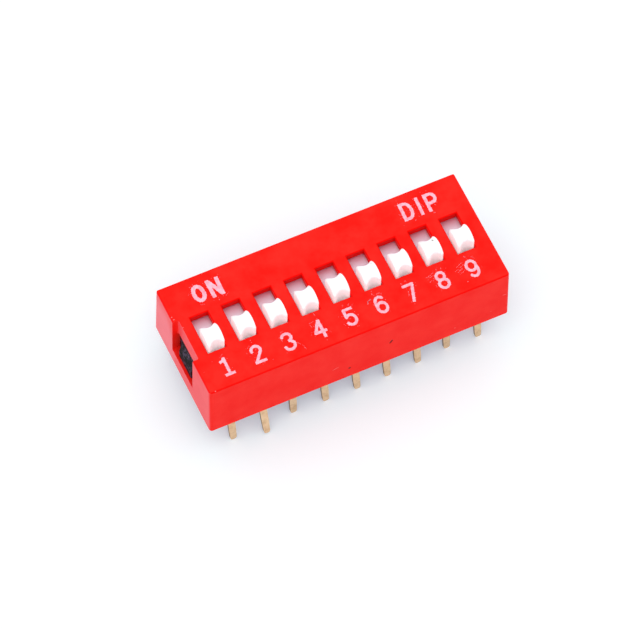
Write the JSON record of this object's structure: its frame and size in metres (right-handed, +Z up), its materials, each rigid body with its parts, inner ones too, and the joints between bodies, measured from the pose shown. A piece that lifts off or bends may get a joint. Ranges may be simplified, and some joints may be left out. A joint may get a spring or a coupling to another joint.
{
  "type": "dip switch",
  "caption": "Slide switch block in a dual in-line package: a moulded cover over a base, finger-grooved sliders along the top and two rows of through-hole pins below.",
  "frame": {"origin": "middle of the body on the seating plane, the underside of the stand-off rib", "axes": "+X along the row from position 1 to the last position, +Y towards the ON side, +Z up through the sliders"},
  "size_m": [0.0244, 0.0103, 0.0099],
  "materials": {
    "cover_plastic": "satin moulded red thermoplastic",
    "base_plastic": "rough glass-filled black thermoplastic",
    "slider_plastic": "smooth white nylon",
    "terminal_plating": "thin gold flash over stamped brass strip",
    "bridge_plating": "gold-plated spring bronze strip",
    "marking_ink": "thin white pad-printed ink over red"
  },
  "bodies": {
    "housing": {"cover": "cover_plastic", "base": "base_plastic", "front_terminal_1": "terminal_plating", "front_terminal_2": "terminal_plating", "front_terminal_3": "terminal_plating", "front_terminal_4": "terminal_plating", "front_terminal_5": "terminal_plating", "front_terminal_6": "terminal_plating", "front_terminal_7": "terminal_plating", "front_terminal_8": "terminal_plating", "front_terminal_9": "terminal_plating", "back_terminal_1": "terminal_plating", "back_terminal_2": "terminal_plating", "back_terminal_3": "terminal_plating", "back_terminal_4": "terminal_plating", "back_terminal_5": "terminal_plating", "back_terminal_6": "terminal_plating", "back_terminal_7": "terminal_plating", "back_terminal_8": "terminal_plating", "back_terminal_9": "terminal_plating"},
    "switch_1": {"slider_1": "slider_plastic", "bridge_contact_1": "bridge_plating"},
    "switch_2": {"slider_2": "slider_plastic", "bridge_contact_2": "bridge_plating"},
    "switch_3": {"slider_3": "slider_plastic", "bridge_contact_3": "bridge_plating"},
    "switch_4": {"slider_4": "slider_plastic", "bridge_contact_4": "bridge_plating"},
    "switch_5": {"slider_5": "slider_plastic", "bridge_contact_5": "bridge_plating"},
    "switch_6": {"slider_6": "slider_plastic", "bridge_contact_6": "bridge_plating"},
    "switch_7": {"slider_7": "slider_plastic", "bridge_contact_7": "bridge_plating"},
    "switch_8": {"slider_8": "slider_plastic", "bridge_contact_8": "bridge_plating"},
    "switch_9": {"slider_9": "slider_plastic", "bridge_contact_9": "bridge_plating"}
  },
  "joints": [
    {"name": "slide_1", "type": "slide", "parent": "housing", "child": "switch_1", "axis": [0, 1, 0], "range_m": [0, 0.0015]},
    {"name": "slide_2", "type": "slide", "parent": "housing", "child": "switch_2", "axis": [0, 1, 0], "range_m": [0, 0.0015]},
    {"name": "slide_3", "type": "slide", "parent": "housing", "child": "switch_3", "axis": [0, 1, 0], "range_m": [0, 0.0015]},
    {"name": "slide_4", "type": "slide", "parent": "housing", "child": "switch_4", "axis": [0, 1, 0], "range_m": [0, 0.0015]},
    {"name": "slide_5", "type": "slide", "parent": "housing", "child": "switch_5", "axis": [0, 1, 0], "range_m": [0, 0.0015]},
    {"name": "slide_6", "type": "slide", "parent": "housing", "child": "switch_6", "axis": [0, 1, 0], "range_m": [0, 0.0015]},
    {"name": "slide_7", "type": "slide", "parent": "housing", "child": "switch_7", "axis": [0, 1, 0], "range_m": [0, 0.0015]},
    {"name": "slide_8", "type": "slide", "parent": "housing", "child": "switch_8", "axis": [0, 1, 0], "range_m": [0, 0.0015]},
    {"name": "slide_9", "type": "slide", "parent": "housing", "child": "switch_9", "axis": [0, 1, 0], "range_m": [0, 0.0015]}
  ]
}
